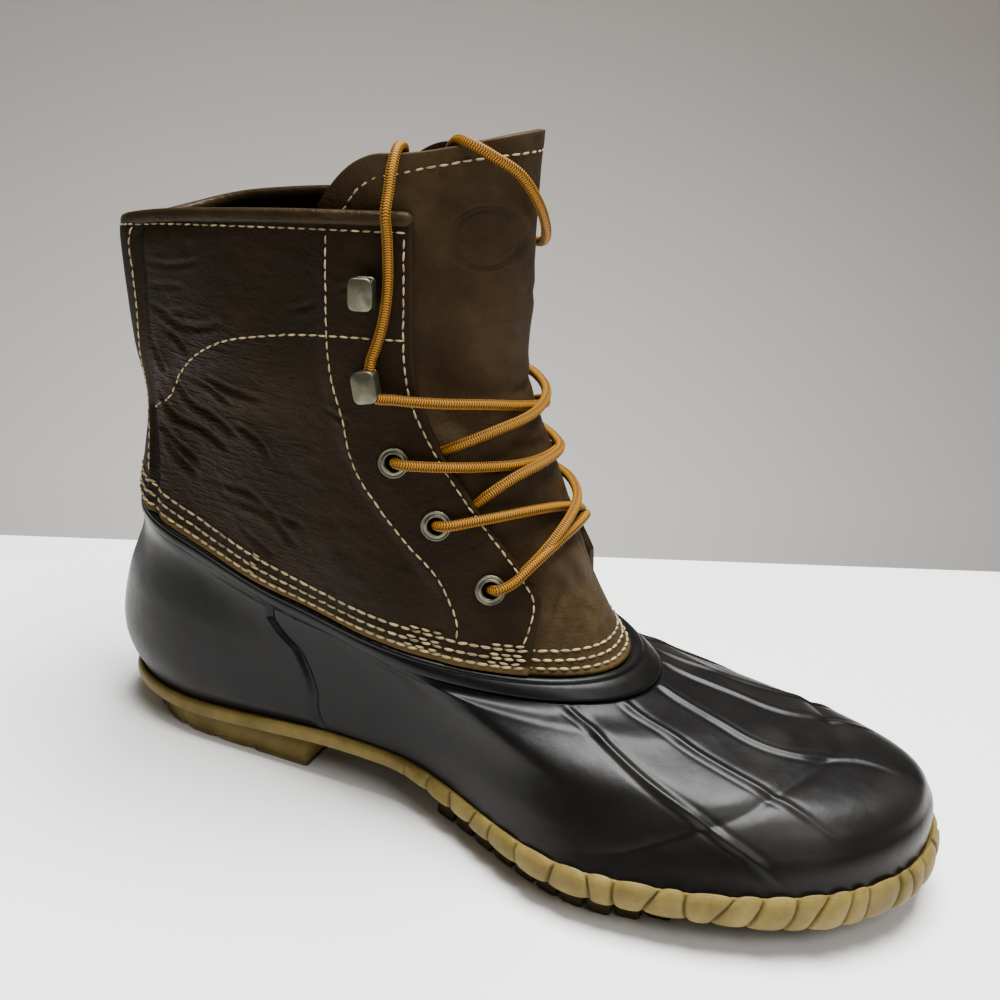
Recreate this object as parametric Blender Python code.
"""Left duck boot: moulded rubber shell, laced leather upper, tall tongue and a lobed gum sole.

Metres, +X towards the toe, -Y the inner side of the foot, +Z up, the floor at z = 0.
One function, boot(), gives the surface of the last. Every curved piece is cut from it:
a point has a level (0 at the sole, 2 at the shell's rim, 4 at the collar), a place round
the foot (0 at the heel, 0.25 inner side, 0.5 at the toe, 0.75 outer side) and an offset
along the surface's normal.
"""
import math

import bmesh
import bpy
import numpy as np
from mathutils import Matrix, Vector

# The last
LENGTH = 0.305            # heel to toe along the shell's bottom edge
UPPER_HEIGHT = 0.190      # sole's top at the heel up to the collar's front corner
HEEL_WIDTH = 0.069        # across the shell's bottom edge
WAIST_WIDTH = 0.070
BALL_WIDTH = 0.118
LATERAL_FALL = 0.014      # how much lower the toe box lies on its outer side
END_POWER = 2.2           # roundness of heel and toe in plan
HEEL_ROUND = 0.16         # share of the length that rounds the heel

# The sole
SOLE_HEIGHT = 0.016       # sole's top above the floor at the heel
BAND_PROUD = 0.0026       # gum band beyond the shell
HEEL_BAND = 0.0058        # height of the smooth band round heel and waist
LOBE_HEIGHT = 0.0110      # height of the lobed band round the forefoot
LOBE_WIDTH = 0.0085
LOBE_DEPTH = 0.0014       # cracks between the lobes
SMOOTH_SECTIONS = 13      # sections of the smooth band, on each side
HEEL_INSET = 0.0045       # heel block inside the band
HEEL_BREAST = 0.086       # heel block's front face from the heel's back
GROOVE_DEPTH = 0.0030     # cross grooves under the heel
GROOVE_WIDTH = 0.0030
GROOVES_AT = (0.020, 0.035, 0.050, 0.065)
TREAD_INSET = 0.0035
BAR_LENGTH = 0.0110       # tread bars, along the foot
BAR_GAP = 0.0045
BAR_SUNK = 0.0060         # bars' tops below the sole's top, inside the lobed band
TOE_SPRING = 0.0055       # how far the last tread bar clears the floor
SPRING_FROM = 0.78        # share of the length where the toe spring starts

# Walls and clearances
CLEARANCE = 0.0003
SHELL_WALL = 0.0025
LEATHER_WALL = 0.0020
TONGUE_WALL = 0.0018
TAB_WALL = 0.0015         # shell's thin edge that goes up behind the leather
INSOLE_WALL = 0.0035
INSOLE_EASE = 0.0028      # room between the insole's edge and the shell
RIM_STEP = 0.0008         # raised band at the shell's rim
RIDGE_HEIGHT = 0.0012
RIDGE_WIDTH = 0.0050
COUNTER_STEP = 0.0007     # heel counter, raised from the shell
EYESTAY_STEP = 0.0008     # eyestay and back strip, raised from the quarters
BACK_STRIP_WIDTH = 0.014
BINDING_HEIGHT = 0.0070   # rolled collar edge
BINDING_THICK = 0.0040

# Tongue
TONGUE_EASE = 0.0010      # room between the tongue and the quarters over it
TAB_EASE = 0.0005         # room between the tongue and the shell's tab
TONGUE_BULGE = 0.0060     # tongue in front of the quarters' ring
TONGUE_CURL = 0.0075      # its wings inside the quarters

# Eyelets, hooks and lace
EYELET_OUTER = 0.0105
EYELET_BARREL = 0.0066
EYELET_BORE = 0.0052
EYELET_FLANGE = 0.0010
HOOK_WIDTH = 0.0080
HOOK_HEIGHT = 0.0105
HOOK_SHEET = 0.0012
LACE = 0.0040
LACE_STEP = 0.0115        # between points of its routes

# Sections of the last. x is a share of LENGTH, z and sag of UPPER_HEIGHT, heel of
# HEEL_WIDTH, waists of WAIST_WIDTH, balls and swing of BALL_WIDTH. The last row is above
# the collar and shapes only the tongue's top.
SECTIONS = np.array([
    # level, back x, back z, front x, front z, sag, heel, waist in, out, ball in, out, swing, toe
    (0.0, 0.000, 0.000, 1.000, 0.042, -0.021, 0.500, 0.500, 0.470, 0.550, 0.450, 0.025, 0.34),
    (0.5, -0.020, 0.095, 0.993, 0.105, -0.042, 0.550, 0.500, 0.500, 0.508, 0.475, 0.017, 0.34),
    (1.0, -0.013, 0.203, 0.954, 0.150, -0.042, 0.530, 0.500, 0.500, 0.450, 0.450, 0.008, 0.38),
    (1.5, 0.010, 0.313, 0.787, 0.176, -0.037, 0.478, 0.514, 0.514, 0.390, 0.400, 0.000, 0.45),
    (2.0, 0.016, 0.395, 0.646, 0.242, -0.042, 0.486, 0.564, 0.543, 0.373, 0.398, 0.000, 0.50),
    (2.5, 0.026, 0.568, 0.528, 0.589, 0.000, 0.413, 0.514, 0.514, 0.322, 0.322, 0.000, 0.50),
    (3.0, 0.015, 0.700, 0.485, 0.732, 0.000, 0.454, 0.529, 0.529, 0.314, 0.314, 0.000, 0.50),
    (3.5, 0.005, 0.868, 0.475, 0.889, 0.000, 0.483, 0.514, 0.514, 0.305, 0.305, 0.000, 0.50),
    (4.0, 0.002, 0.913, 0.469, 1.000, 0.016, 0.461, 0.500, 0.500, 0.291, 0.288, 0.000, 0.50),
    (5.0, 0.002, 1.120, 0.469, 1.210, 0.016, 0.461, 0.500, 0.500, 0.291, 0.288, 0.000, 0.50),
])

# Lines on the surface, each a level and the place round the foot
RIM_LEVEL = 2.0
BAND_LEVEL = 1.865        # lower edge of the rim band
TAB_LEVEL = 2.20
COLLAR_LEVEL = 4.0
COUNTER_AT = 0.190        # place of the counter's edge
COUNTER_TOP = 1.60
RIDGE_LINES = np.array([
    # level, then the place of each ridge
    (0.10, 0.386, 0.430, 0.492, 0.575),
    (0.60, 0.364, 0.415, 0.493, 0.566),
    (1.10, 0.348, 0.404, 0.490, 0.556),
    (1.50, 0.364, 0.417, 0.475, 0.538),
    (1.86, 0.389, 0.440, 0.492, 0.543),
])
QUARTER_LINES = np.array([
    # level, eyestay's seam, throat edge
    (2.00, 0.330, 0.380),
    (2.10, 0.340, 0.397),
    (2.20, 0.342, 0.419),
    (2.30, 0.323, 0.400),
    (2.40, 0.304, 0.382),
    (2.55, 0.294, 0.367),
    (2.80, 0.295, 0.364),
    (4.00, 0.294, 0.362),
])
TONGUE_LINES = np.array([
    # level, half span round the foot, share of TONGUE_BULGE, share of TONGUE_CURL
    (2.00, 0.150, 0.00, 0.00),
    (2.50, 0.170, 0.00, 0.00),
    (2.90, 0.190, 0.35, 0.30),
    (3.30, 0.205, 0.85, 0.70),
    (4.00, 0.225, 1.00, 1.00),
    (5.00, 0.225, 1.00, 1.00),
])
TONGUE_TOP = 4.68         # level of the tongue's top edge at its middle
TONGUE_SLOPE = 0.20       # how far the top edge falls to its shoulders, in levels
TONGUE_SHOULDER = 0.42    # and from the shoulders to the wings' ends

EYELETS = (("1", 2.22, 0.376), ("2", 2.35, 0.347), ("3", 2.51, 0.326))
HOOKS = (("1", 2.98, 0.325), ("2", 3.46, 0.325))

PARTS = "duck_boot"
CUTTERS = "cutters"


def table_at(table, at):
    """Smooth values of a table's columns at `at`, by cubics through its rows."""
    xs, ys = table[:, 0], table[:, 1:]
    at = np.clip(np.asarray(at, float), xs[0] - 0.2, xs[-1])
    step = np.diff(xs)[:, None]
    slope = np.diff(ys, axis=0) / step
    tangent = np.empty_like(ys)
    tangent[0], tangent[-1] = slope[0], slope[-1]
    tangent[1:-1] = (slope[:-1] * step[1:] + slope[1:] * step[:-1]) / (step[1:] + step[:-1])
    i = np.clip(np.searchsorted(xs, at, side="right") - 1, 0, len(xs) - 2)
    width = xs[i + 1] - xs[i]
    t = ((at - xs[i]) / width)[..., None]
    width = width[..., None]
    return ((2 * t**3 - 3 * t**2 + 1) * ys[i] + (t**3 - 2 * t**2 + t) * width * tangent[i]
            + (3 * t**2 - 2 * t**3) * ys[i + 1] + (t**3 - t**2) * width * tangent[i + 1])


def lines_at(table, at):
    """Straight interpolation of a table's columns, for lines drawn on the surface."""
    return [np.interp(at, table[:, 0], table[:, k]) for k in range(1, table.shape[1])]


def smooth(t):
    t = np.clip(t, 0.0, 1.0)
    return t * t * (3 - 2 * t)


def boot(level, around):
    """Points of the last's surface; level and around broadcast together."""
    level, around = np.broadcast_arrays(np.asarray(level, float), np.asarray(around, float))
    (back_x, back_z, front_x, front_z, sag, heel, waist_in, waist_out,
     ball_in, ball_out, swing, toe) = np.moveaxis(table_at(SECTIONS, level), -1, 0)
    turn = around % 1.0
    s = (1 - np.cos(2 * np.pi * turn)) / 2
    inner = turn <= 0.5
    to_waist = smooth((s - 0.12) / 0.28)
    to_ball = smooth((s - 0.40) / 0.28)
    waist = np.where(inner, waist_in, waist_out) * WAIST_WIDTH
    ball = np.where(inner, ball_in, ball_out) * BALL_WIDTH
    half = heel * HEEL_WIDTH
    half = half + (waist - half) * to_waist
    half = half + (ball - waist) * to_ball
    heel_end = np.clip(1 - s / HEEL_ROUND, 0, 1)
    toe_end = np.clip((s - (1 - toe)) / toe, 0, 1)
    half = half * (1 - heel_end**END_POWER)**(1 / END_POWER)
    half = half * (1 - toe_end**END_POWER)**(1 / END_POWER)
    x = LENGTH * (back_x + (front_x - back_x) * s)
    y = swing * BALL_WIDTH * np.clip((s - 0.4) / 0.6, 0, 1)**2 + np.where(inner, -half, half)
    z = SOLE_HEIGHT + UPPER_HEIGHT * (back_z + (front_z - back_z) * s + sag * 4 * s * (1 - s))
    outer_side = (np.clip(y, 0, None) / (BALL_WIDTH / 2))**2
    z = z - LATERAL_FALL * s * np.clip(1 - level / 2, 0, 1) * np.clip(2 * level, 0, 1) * outer_side
    return np.stack([x, y, z], -1)


def unit(vectors):
    return vectors / np.maximum(np.linalg.norm(vectors, axis=-1, keepdims=True), 1e-12)


def normal(level, around):
    """Outward unit normals of the last's surface."""
    reach_v, reach_u = 0.02, 0.004
    along = boot(np.asarray(level) + reach_v, around) - boot(np.asarray(level) - reach_v, around)
    across = boot(level, np.asarray(around) + reach_u) - boot(level, np.asarray(around) - reach_u)
    return unit(np.cross(across, along))


def upward(level, around):
    """Unit vectors along the surface, from the sole towards the collar."""
    return unit(boot(np.asarray(level) + 0.02, around) - boot(np.asarray(level) - 0.02, around))


def offset(level, around, out):
    """Points `out` metres outside the last's surface."""
    return boot(level, around) + np.asarray(out)[..., None] * normal(level, around)


def collection(name):
    if name not in bpy.data.collections:
        bpy.context.scene.collection.children.link(bpy.data.collections.new(name))
    return bpy.data.collections[name]


def material(name, color, roughness, metallic=0.0):
    made = bpy.data.materials.new(name)
    made.use_nodes = True
    shader = made.node_tree.nodes["Principled BSDF"]
    shader.inputs["Base Color"].default_value = (*color, 1.0)
    shader.inputs["Roughness"].default_value = roughness
    shader.inputs["Metallic"].default_value = metallic
    return made


def add_mesh(name, vertices, faces, finish=None, into=PARTS):
    """A mesh object with its faces pointing out."""
    mesh = bpy.data.meshes.new(name)
    mesh.from_pydata([tuple(v) for v in vertices], [], faces)
    work = bmesh.new()
    work.from_mesh(mesh)
    bmesh.ops.recalc_face_normals(work, faces=work.faces)
    work.to_mesh(mesh)
    work.free()
    made = bpy.data.objects.new(name, mesh)
    collection(into).objects.link(made)
    if finish:
        mesh.materials.append(finish)
        mesh.shade_smooth()
        mesh.set_sharp_from_angle(angle=math.radians(35))
    else:
        made.hide_render = True
        made.display_type = "WIRE"
    return made


def loft(sections, closed):
    """Vertices and faces through loops of equal count, capped unless the loft closes."""
    sections = np.asarray(sections)
    count, size = sections.shape[:2]
    faces = []
    for i in range(count if closed else count - 1):
        here, there = i * size, (i + 1) % count * size
        for j in range(size):
            k = (j + 1) % size
            faces.append((here + j, here + k, there + k, there + j))
    if not closed:
        faces.append(tuple(range(size)))
        faces.append(tuple((count - 1) * size + j for j in range(size)))
    return sections.reshape(-1, 3), faces


def sheet(outer, inner):
    """A wall between two grids of points, closed along its four edges."""
    outer, inner = np.asarray(outer), np.asarray(inner)
    rows, columns = outer.shape[:2]
    second = rows * columns
    faces = []
    for i in range(rows - 1):
        for j in range(columns - 1):
            a, b = i * columns + j, i * columns + j + 1
            c, d = b + columns, a + columns
            faces.append((a, b, c, d))
            faces.append((second + d, second + c, second + b, second + a))
    border = [j for j in range(columns)]
    border += [i * columns + columns - 1 for i in range(1, rows)]
    border += [(rows - 1) * columns + j for j in range(columns - 2, -1, -1)]
    border += [i * columns for i in range(rows - 2, 0, -1)]
    for a, b in zip(border, border[1:] + border[:1]):
        faces.append((b, a, second + a, second + b))
    return np.concatenate([outer.reshape(-1, 3), inner.reshape(-1, 3)]), faces


def spans(stops):
    """Values from stop to stop; each stop after the first has its number of spans."""
    values = [stops[0][0]]
    for (start, _), (end, count) in zip(stops, stops[1:]):
        values += [start + (end - start) * k / count for k in range(1, count + 1)]
    return values


def boolean(target, cutter, operation):
    change = target.modifiers.new(operation.lower(), "BOOLEAN")
    change.operation = operation
    change.object = cutter
    change.solver = "EXACT"


def around_for(level, at, width):
    """How far round the foot a width in metres reaches, beside a place."""
    speed = np.linalg.norm(boot(level, at + 0.002) - boot(level, at - 0.002), axis=-1) / 0.004
    return width / speed


def shell_columns(level):
    """Places round the foot at one level, with a triplet of columns on each ridge."""
    ridges = [float(r) for r in lines_at(RIDGE_LINES, level)]
    counter_lip = float(around_for(level, COUNTER_AT, COUNTER_STEP))
    stops = [(0.0, 0), (COUNTER_AT - counter_lip, 9), (COUNTER_AT, 1)]
    for number, ridge in enumerate(ridges):
        half = float(around_for(level, ridge, RIDGE_WIDTH / 2))
        stops += [(ridge - half, 12 if number == 0 else 2), (ridge, 1), (ridge + half, 1)]
    stops += [(1 - COUNTER_AT, 12), (1 - COUNTER_AT + counter_lip, 1), (1.0, 9)]
    return np.array(spans(stops)[:-1])


def shell_raise(level, columns):
    """Height of counter and ridges above the shell, for one level's columns."""
    raised = np.zeros(len(columns))
    counter = COUNTER_STEP * float(1 - smooth((level - COUNTER_TOP) / 0.2))
    raised[:10] = counter
    raised[-9:] = counter
    fade = float(smooth(level / 0.5) * (1 - smooth((level - 1.78) / 0.08)))
    first_ridge = 10 + 12
    for number in range(4):
        raised[first_ridge + 4 * number] = RIDGE_HEIGHT * fade
    return raised


def make_shell(finish):
    """Hollow rubber shell: outer wall, rim band, tab behind the leather, inner wall."""
    tab_out = -(LEATHER_WALL / 2 + TONGUE_EASE + TONGUE_WALL + TAB_EASE)
    tab_in = tab_out - TAB_WALL
    below_leather = RIM_LEVEL - 0.008
    outer = [(v, None) for v in (0.0, 0.22, 0.45, 0.68, 0.90, 1.12, 1.34, 1.58, BAND_LEVEL)]
    rim = [(BAND_LEVEL + 0.012, RIM_STEP), (below_leather, RIM_STEP), (below_leather, tab_out),
           *((v, tab_out) for v in (2.05, 2.10, 2.15, TAB_LEVEL)),
           *((v, tab_in) for v in (TAB_LEVEL, 2.10, below_leather - 0.05))]
    inner = [(v, -SHELL_WALL) for v in (1.70, 1.34, 1.0, 0.60, 0.25, 0.0)]
    rings = []
    for level, out in outer + rim + inner:
        columns = shell_columns(level)
        out = shell_raise(level, columns) if out is None else np.full(len(columns), out)
        rings.append(offset(level, columns, out) if level > 0 else sole_half(columns, out))
    add_mesh("rubber_shell", *loft(rings, closed=True), finish)


def quarter_columns(level):
    """Places from the outer throat edge round the heel to the inner one, and the steps."""
    seam, edge = (float(v) for v in lines_at(QUARTER_LINES, level))
    strip = float(around_for(level, 0.0, BACK_STRIP_WIDTH / 2))
    lip = 0.0018
    near = spans([(0.0, 0), (strip, 2), (strip + lip, 1), (seam - lip, 11), (seam, 1), (edge, 3)])
    steps = [EYESTAY_STEP] * 3 + [0.0] * 12 + [EYESTAY_STEP] * 4
    return (np.array([-v for v in near[:0:-1]] + near), np.array(steps[:0:-1] + steps))


def make_upper(finish):
    """Both quarters as one hollow wall, open at the throat, collar and shell."""
    half = LEATHER_WALL / 2
    outer, inner = [], []
    for level in (2.0, 2.05, 2.1, 2.15, 2.2, 2.25, 2.3, 2.4, 2.55, 2.75, 3.0, 3.2, 3.4):
        columns, steps = quarter_columns(level)
        outer.append(offset(level, columns, half + steps))
        inner.append(offset(level, columns, np.full(len(columns), -half)))
    columns, steps = quarter_columns(COLLAR_LEVEL)
    drop = (BINDING_HEIGHT + CLEARANCE) * upward(COLLAR_LEVEL, columns)
    outer.append(offset(COLLAR_LEVEL, columns, half + steps) - drop)
    inner.append(offset(COLLAR_LEVEL, columns, np.full(len(columns), -half)) - drop)
    upper = add_mesh("leather_upper", *sheet(outer, inner), finish)
    for side, turn in (("inner", 1), ("outer", -1)):
        for name, level, around in EYELETS:
            place, frame = surface_frame(level, turn * around)
            cutter = cylinder("hole_%s_%s" % (side, name), EYELET_BARREL / 2 + CLEARANCE, 0.02)
            cutter.matrix_world = Matrix.Translation(place) @ frame
            boolean(upper, cutter, "DIFFERENCE")


def make_binding(finish):
    """Rolled edge along the collar, from throat corner to throat corner."""
    columns, _ = quarter_columns(COLLAR_LEVEL)
    columns = columns[::2]
    up = upward(COLLAR_LEVEL, columns)
    out = normal(COLLAR_LEVEL, columns)
    middle = boot(COLLAR_LEVEL, columns) - up * BINDING_HEIGHT / 2
    sections = []
    for angle in np.radians(np.arange(8) * 45 + 22.5):
        wide = out * BINDING_THICK / 2 * math.cos(angle) / math.cos(math.radians(22.5))
        tall = up * BINDING_HEIGHT / 2 * math.sin(angle) / math.cos(math.radians(22.5))
        sections.append(middle + wide + tall)
    loops = np.moveaxis(np.array(sections), 0, 1)
    add_mesh("collar_binding", *loft(loops, closed=False), finish)


def tongue_point(level, across, inward):
    """A point of the tongue; across is -1 at its inner-side wing and 1 at the outer one."""
    half_span, bulge, curl = lines_at(TONGUE_LINES, level)
    around = 0.5 + across * half_span
    out = -(LEATHER_WALL / 2 + TONGUE_EASE) - inward
    out = out + TONGUE_BULGE * bulge * (1 - smooth(np.abs(across) * 1.9))
    out = out - TONGUE_CURL * curl * np.abs(across)**4
    return offset(level, around, out)


def tongue_edge(across):
    """Level of the tongue's top edge, high at the middle and rounded at the wings."""
    reach = np.abs(across)
    fall = TONGUE_SLOPE * smooth(reach / 0.75) + TONGUE_SHOULDER * smooth((reach - 0.68) / 0.32)
    return TONGUE_TOP - fall


def make_tongue(finish):
    """Vamp piece and tongue in one sheet, from the rim to above the collar."""
    across = np.linspace(-1, 1, 23)
    levels = (2.0, 2.05, 2.1, 2.15, 2.2, 2.3, 2.4, 2.55, 2.75, 3.0, 3.2, 3.4, 3.7, 4.0)
    shares = [(level - RIM_LEVEL) / (TONGUE_TOP - RIM_LEVEL) for level in levels] + [0.93, 1.0]
    outer, inner = [], []
    for share in shares:
        top = tongue_edge(across)
        level = RIM_LEVEL + (top - RIM_LEVEL) * share
        outer.append(tongue_point(level, across, 0.0))
        inner.append(tongue_point(level, across, TONGUE_WALL))
    add_mesh("tongue", *sheet(outer, inner), finish)


def sole_half(around, out):
    """Outline of the sole at `out` metres beyond the last's bottom edge, in plan."""
    point = boot(0.0, around)
    side = boot(0.0, np.asarray(around) + 0.003) - boot(0.0, np.asarray(around) - 0.003)
    flat = np.stack([side[..., 1], -side[..., 0], np.zeros(side.shape[:-1])], -1)
    return point + np.asarray(out)[..., None] * unit(flat)


def sole_places():
    """Places along one side of the sole, four to each lobe, and each place's crack depth."""
    fine = np.linspace(0.0, 0.5, 1201)
    edge = boot(0.0, fine)
    run = np.concatenate([[0], np.cumsum(np.linalg.norm(np.diff(edge, axis=0), axis=1))])
    start = np.interp(0.5 * LENGTH, edge[:, 0], run)
    lobes = round((run[-1] - start) / LOBE_WIDTH)
    smooth_run = np.linspace(0.002, start, SMOOTH_SECTIONS + 1)[:-1]
    lobe_run = start + (run[-1] - start - 0.002) * np.arange(4 * lobes + 1) / (4 * lobes)
    places = np.interp(np.concatenate([smooth_run, lobe_run]), run, fine)
    crack = np.concatenate([np.zeros(SMOOTH_SECTIONS), np.tile([1.0, 0.12, 0.0, 0.12], lobes), [1.0]])
    return places, crack


def make_sole(finish):
    """Gum sole: smooth heel and waist band, lobed forefoot band, heel block, tread bars."""
    places, crack = sole_places()
    sections = []
    for place, depth in zip(places, crack):
        x = float(boot(0.0, place)[0]) / LENGTH
        forefoot = float(smooth((x - 0.36) / 0.16))
        height = HEEL_BAND + (LOBE_HEIGHT - HEEL_BAND) * forefoot
        cut = LOBE_DEPTH * depth
        loop = []
        for out, down in ((-0.0045, 0.0), (BAND_PROUD * 0.7 - cut, 0.0),
                          (BAND_PROUD - cut, height * 0.4), (BAND_PROUD * 0.8 - cut, height),
                          (-TREAD_INSET - 0.002, height)):
            near = sole_half(place, out)
            far = sole_half(-place, out)
            near[2] = far[2] = boot(0.0, place)[2] - CLEARANCE - down
            loop.append((near, far))
        sections.append([near for near, _ in loop] + [far for _, far in loop[::-1]])
    sole = add_mesh("outsole", *loft(sections, closed=False), finish)
    for number, (start, end) in enumerate(tread_bars()):
        boolean(sole, tread_bar(number, start, end), "UNION")
    boolean(sole, heel_block(), "UNION")
    for number, x in enumerate(GROOVES_AT):
        ends = [(x + half, -HEEL_WIDTH, HEEL_WIDTH) for half in (-GROOVE_WIDTH / 2, GROOVE_WIDTH / 2)]
        groove = prism("groove_%d" % number, ends, [-GROOVE_DEPTH] * 2, GROOVE_DEPTH)
        boolean(sole, groove, "DIFFERENCE")


def outline_at(x, inset):
    """The sole's two edges at a distance x from the heel, moved in by `inset`."""
    places = np.linspace(0.0, 0.5, 401)
    near = sole_half(places, -inset)
    far = sole_half(-places, -inset)
    return np.interp(x, near[:, 0], near[:, 1]), np.interp(x, far[:, 0], far[:, 1])


def tread_bars():
    """Start and end of each tread bar along the forefoot."""
    pitch = BAR_LENGTH + BAR_GAP
    first, last = 0.47 * LENGTH, 0.955 * LENGTH
    count = int((last - first) / pitch)
    return [(first + k * pitch, first + k * pitch + BAR_LENGTH) for k in range(count)]


def prism(name, ends, bottoms, top):
    """A block across the sole: stations of (x, near y, far y), undersides and one top."""
    sections = []
    for (x, near, far), low in zip(ends, bottoms):
        sections.append([(x, near, low), (x, far, low), (x, far, top), (x, near, top)])
    return add_mesh(name, *loft(sections, closed=False), into=CUTTERS)


def tread_bar(number, start, end):
    stations = [start, (start + end) / 2, end]
    ends = [(x, *outline_at(x, TREAD_INSET)) for x in stations]
    spring = [TOE_SPRING * max(0.0, (start / LENGTH - SPRING_FROM) / 0.16)**2] * 3
    edge = boot(0.0, np.linspace(0, 0.5, 99))
    top = float(np.interp(start, edge[:, 0], edge[:, 2])) - BAR_SUNK
    return prism("bar_%d" % number, ends, spring, top)


def heel_block():
    """Heel block inside the band, with a flat underside on the floor."""
    stations = HEEL_INSET + 0.0015 + (HEEL_BREAST - HEEL_INSET) * (1 - np.cos(
        np.linspace(0.12, 1.0, 12) * math.pi / 2))
    stations[-1] = HEEL_BREAST
    ends = [(x, *outline_at(x, HEEL_INSET)) for x in stations]
    block = prism("heel_block", ends, [0.0] * len(ends), SOLE_HEIGHT - HEEL_BAND + 0.002)
    return block


def make_insole(finish):
    """Insole that lies on the sole inside the shell."""
    places = np.linspace(0.012, 0.488, 26)
    sections = []
    for place in places:
        loop = []
        out = -SHELL_WALL - INSOLE_EASE
        for rise in (CLEARANCE, CLEARANCE + INSOLE_WALL):
            near, far = sole_half(place, out), sole_half(-place, out)
            near[2] = far[2] = boot(0.0, place)[2] + rise
            loop.append((near, far))
        sections.append([loop[0][0], loop[0][1], loop[1][1], loop[1][0]])
    add_mesh("insole", *loft(sections, closed=False), finish)


def surface_frame(level, around, out=0.0):
    """Place and axes on the last: X round the foot, Y upward, Z outward."""
    place = Vector(boot(level, around) + out * normal(level, around))
    z = Vector(normal(level, around))
    y = Vector(upward(level, around))
    x = y.cross(z).normalized()
    y = z.cross(x)
    return place, Matrix((x, y, z)).transposed().to_4x4()


def cylinder(name, radius, depth):
    work = bmesh.new()
    bmesh.ops.create_cone(work, cap_ends=True, segments=12, radius1=radius, radius2=radius,
                          depth=depth)
    mesh = bpy.data.meshes.new(name)
    work.to_mesh(mesh)
    work.free()
    made = bpy.data.objects.new(name, mesh)
    made.hide_render = True
    made.display_type = "WIRE"
    collection(CUTTERS).objects.link(made)
    return made


def make_eyelets(finish):
    """Turned brass eyelets: a domed flange outside the leather and a barrel through it."""
    flat = LEATHER_WALL / 2 + EYESTAY_STEP + CLEARANCE
    bore, barrel, rim = EYELET_BORE / 2, EYELET_BARREL / 2, EYELET_OUTER / 2
    profile = ((bore, flat + EYELET_FLANGE * 0.6), (bore + 0.001, flat + EYELET_FLANGE),
               (rim - 0.0008, flat + EYELET_FLANGE * 0.8), (rim, flat), (barrel, flat),
               (barrel, -LEATHER_WALL / 2), (bore, -LEATHER_WALL / 2))
    turns = 10
    rings = [[(r * math.cos(a), r * math.sin(a), h) for r, h in profile]
             for a in (2 * math.pi * k / turns for k in range(turns))]
    for side, turn in (("inner", 1), ("outer", -1)):
        for name, level, around in EYELETS:
            made = add_mesh("eyelet_%s_%s" % (side, name), *loft(rings, closed=True), finish)
            place, frame = surface_frame(level, turn * around)
            made.matrix_world = Matrix.Translation(place) @ frame


def make_hooks(finish):
    """Lace hooks: a base on the eyestay, a bend at the throat side and a square cap."""
    gap = LACE + 0.0005
    half, sheet_thick = HOOK_WIDTH / 2, HOOK_SHEET
    top = sheet_thick + gap + sheet_thick
    outline = ((-half, 0), (half - 0.0008, 0), (half, 0.0008), (half, top - 0.0010),
               (half - 0.0010, top), (0.001 - half, top), (-half, top - 0.0006),
               (-half, top - sheet_thick), (half - sheet_thick - 0.0006, top - sheet_thick),
               (half - sheet_thick, top - sheet_thick - 0.0006), (half - sheet_thick, sheet_thick),
               (-half, sheet_thick))
    base = LEATHER_WALL / 2 + EYESTAY_STEP + CLEARANCE + 0.0003
    for side, turn in (("inner", 1), ("outer", -1)):
        for name, level, around in HOOKS:
            ends = [[(turn * x, y, z) for x, z in outline] for y in
                    (-HOOK_HEIGHT / 2, -HOOK_HEIGHT / 2 + 0.001, HOOK_HEIGHT / 2 - 0.001,
                     HOOK_HEIGHT / 2)]
            made = add_mesh("hook_%s_%s" % (side, name), *loft(ends, closed=False), finish)
            place, frame = surface_frame(level, turn * around, base)
            made.matrix_world = Matrix.Translation(place) @ frame


def smooth_route(points, step):
    """Points every `step` metres along a smooth curve through the route's own points."""
    points = np.asarray(points, float)
    run = np.concatenate([[0], np.cumsum(np.linalg.norm(np.diff(points, axis=0), axis=1))])
    table = np.column_stack([run, points])
    fine = table_at(table, np.linspace(0, run[-1], 400))
    length = np.concatenate([[0], np.cumsum(np.linalg.norm(np.diff(fine, axis=0), axis=1))])
    count = max(4, int(length[-1] / step) + 1)
    at = np.linspace(0, length[-1], count)
    return np.stack([np.interp(at, length, fine[:, k]) for k in range(3)], -1)


def tube(name, points, finish=None, into=PARTS):
    """A lace as a POLY curve with a round bevel and filled caps."""
    curve = bpy.data.curves.new(name, "CURVE")
    curve.dimensions = "3D"
    curve.bevel_depth = LACE / 2
    curve.bevel_resolution = 2
    curve.use_fill_caps = True
    spline = curve.splines.new("POLY")
    spline.points.add(len(points) - 1)
    for spot, point in zip(spline.points, points):
        spot.co = (*point, 1.0)
    made = bpy.data.objects.new(name, curve)
    collection(into).objects.link(made)
    if finish:
        curve.materials.append(finish)
    else:
        made.hide_render = True
        made.display_type = "WIRE"
    return made


def as_mesh(made):
    """The tube as a welded mesh, so that it can be joined."""
    bpy.context.view_layer.update()
    evaluated = made.evaluated_get(bpy.context.evaluated_depsgraph_get())
    mesh = bpy.data.meshes.new_from_object(evaluated)
    work = bmesh.new()
    work.from_mesh(mesh)
    bmesh.ops.remove_doubles(work, verts=work.verts, dist=1e-5)
    bmesh.ops.recalc_face_normals(work, faces=work.faces)
    work.to_mesh(mesh)
    work.free()
    name, home = made.name, made.users_collection[0]
    solid = bpy.data.objects.new(name, mesh)
    solid.matrix_world = made.matrix_world
    solid.hide_render, solid.display_type = made.hide_render, made.display_type
    bpy.data.objects.remove(made)
    solid.name = name
    home.objects.link(solid)
    return solid


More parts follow.
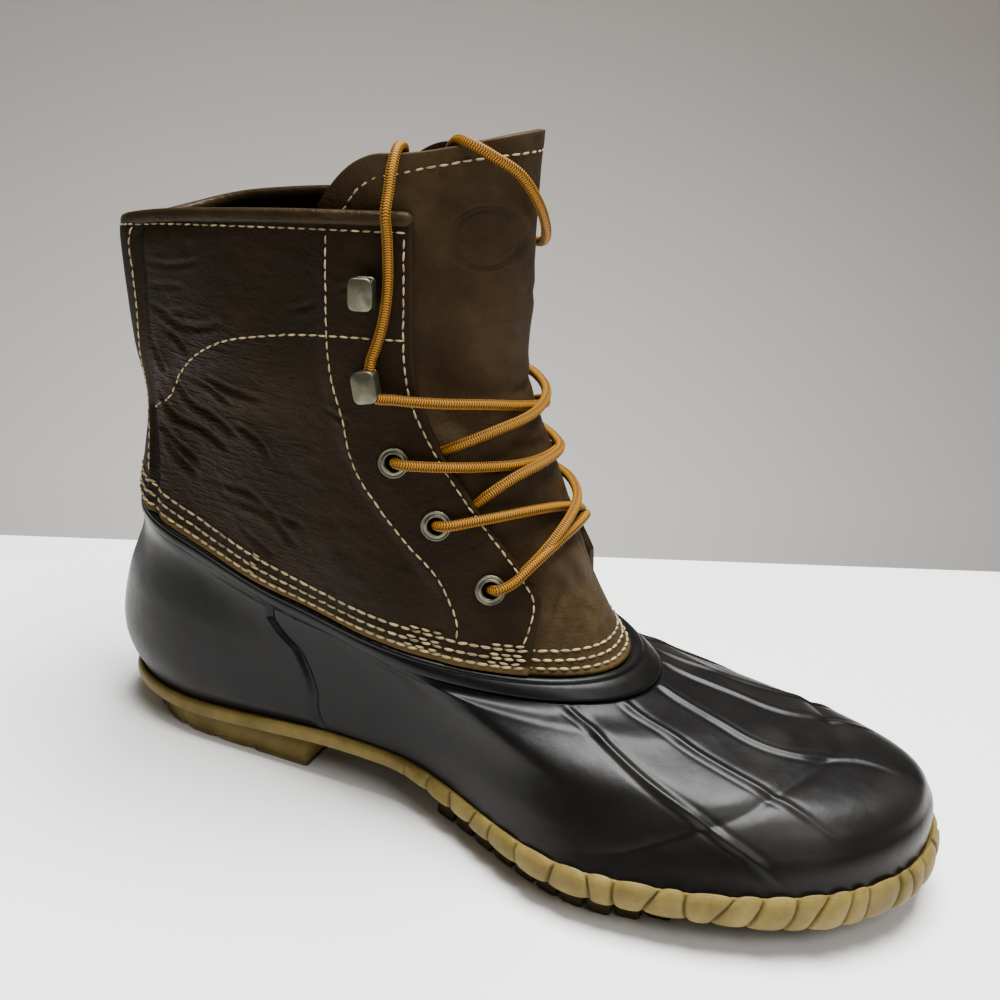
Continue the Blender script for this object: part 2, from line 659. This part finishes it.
# Routes of the lace on the last's surface: level, place round the foot (inner side; the
# mirrored strand is on the outer side) and offset in lace diameters above the tongue
STRANDS = {
    "low": ((2.28, 0.424, 0.9), (2.34, 0.460, 0.6), (2.39, 0.515, 0.6),
            (2.405, 0.565, 0.9), (2.39, 0.612, 1.25), (2.365, 0.634, 1.25)),
    "middle": ((2.43, 0.397, 0.9), (2.48, 0.425, 0.7), (2.52, 0.470, 0.6),
               (2.53, 0.525, 0.65), (2.52, 0.575, 1.0), (2.52, 0.620, 1.25),
               (2.515, 0.652, 1.25)),
    "top": ((2.60, 0.385, 0.9), (2.66, 0.420, 0.8), (2.72, 0.475, 0.8),
            (2.80, 0.530, 1.1), (2.87, 0.580, 1.2), (2.89, 0.630, 1.3),
            (2.92, 0.655, 1.4)),
}
BAR = ((2.235, 0.393, 1.2), (2.27, 0.415, 1.2), (2.31, 0.455, 0.8), (2.325, 0.5, 0.7),
       (2.31, 0.545, 0.8), (2.27, 0.585, 1.2), (2.235, 0.607, 1.2))


def surface_route(rows, mirror=False):
    rows = np.array(rows)
    around = 1 - rows[:, 1] if mirror else rows[:, 1]
    return smooth_route(offset(rows[:, 0], around, rows[:, 2] * LACE), LACE_STEP)


def make_crossings(finish):
    """The lace between the eyelets: three crossings, the lowest joined to the straight bar."""
    for name, rows in STRANDS.items():
        whole = "lace_crossing_" + name
        joined = as_mesh(tube(whole, surface_route(rows), finish))
        others = [surface_route(rows, True)]
        if name == "low":
            others.append(surface_route(BAR))
        for number, route in enumerate(others):
            strand = as_mesh(tube("%s_strand_%d" % (whole, number), route, into=CUTTERS))
            boolean(joined, strand, "UNION")


def make_ends(finish):
    """Free ends of the lace, from the lower hooks over the tongue's top into the boot."""
    for name, rows in (("lace_end_inner", END_INNER), ("lace_end_outer", END_OUTER)):
        tube(name, smooth_route(rows, LACE_STEP), finish)


# Free ends, route points chosen by hand in metres
END_INNER = (
    (0.1107, -0.0381, 0.1610), (0.1124, -0.0371, 0.1675), (0.1138, -0.0361, 0.1763),
    (0.1139, -0.0352, 0.1868), (0.1131, -0.0346, 0.1953), (0.1126, -0.0350, 0.2017),
    (0.1123, -0.0358, 0.2060), (0.1118, -0.0330, 0.2140), (0.1105, -0.0298, 0.2230),
    (0.1083, -0.0250, 0.2290), (0.1055, -0.0195, 0.2275), (0.1038, -0.0165, 0.2190),
    (0.1030, -0.0155, 0.2050), (0.1025, -0.0150, 0.1900), (0.1020, -0.0150, 0.1720),
)
END_OUTER = (
    (0.1107, 0.0381, 0.1610), (0.1128, 0.0374, 0.1688), (0.1158, 0.0361, 0.1788),
    (0.1197, 0.0339, 0.1871), (0.1244, 0.0300, 0.1927), (0.1322, 0.0243, 0.1962),
    (0.1401, 0.0190, 0.1989), (0.1474, 0.0113, 0.2011), (0.1503, 0.0042, 0.2036),
    (0.1504, -0.0027, 0.2084), (0.1480, -0.0095, 0.2162), (0.1444, -0.0146, 0.2228),
    (0.1389, -0.0193, 0.2282), (0.1320, -0.0206, 0.2335), (0.1265, -0.0175, 0.2350),
    (0.1225, -0.0140, 0.2290), (0.1210, -0.0120, 0.2180), (0.1200, -0.0110, 0.2030),
    (0.1195, -0.0100, 0.1850),
)


def centre_on_floor():
    """Hang everything on one empty, so that the boot stands over the middle of its outline."""
    bpy.context.view_layer.update()
    graph = bpy.context.evaluated_depsgraph_get()
    corners = []
    for made in collection(PARTS).objects:
        if not made.name.startswith("lace_end"):
            corners += [made.matrix_world @ Vector(c) for c in made.evaluated_get(graph).bound_box]
    frame = bpy.data.objects.new("boot_frame", None)
    bpy.context.scene.collection.objects.link(frame)
    for axis in (0, 1):
        values = [corner[axis] for corner in corners]
        frame.location[axis] = -(min(values) + max(values)) / 2
    for home in (PARTS, CUTTERS):
        for made in collection(home).objects:
            made.parent = frame


def main():
    for made in list(bpy.data.objects):
        bpy.data.objects.remove(made)
    rubber = material("rubber", (0.018, 0.016, 0.016), 0.35)
    leather = material("leather", (0.060, 0.030, 0.018), 0.55)
    gum = material("gum_rubber", (0.400, 0.260, 0.100), 0.60)
    fabric = material("insole_fabric", (0.300, 0.240, 0.160), 0.90)
    brass = material("aged_brass", (0.200, 0.170, 0.090), 0.45, 1.0)
    braid = material("lace_braid", (0.520, 0.260, 0.050), 0.80)
    make_shell(rubber)
    make_upper(leather)
    make_binding(leather)
    make_tongue(leather)
    make_sole(gum)
    make_insole(fabric)
    make_eyelets(brass)
    make_hooks(brass)
    make_crossings(braid)
    make_ends(braid)
    centre_on_floor()


main()
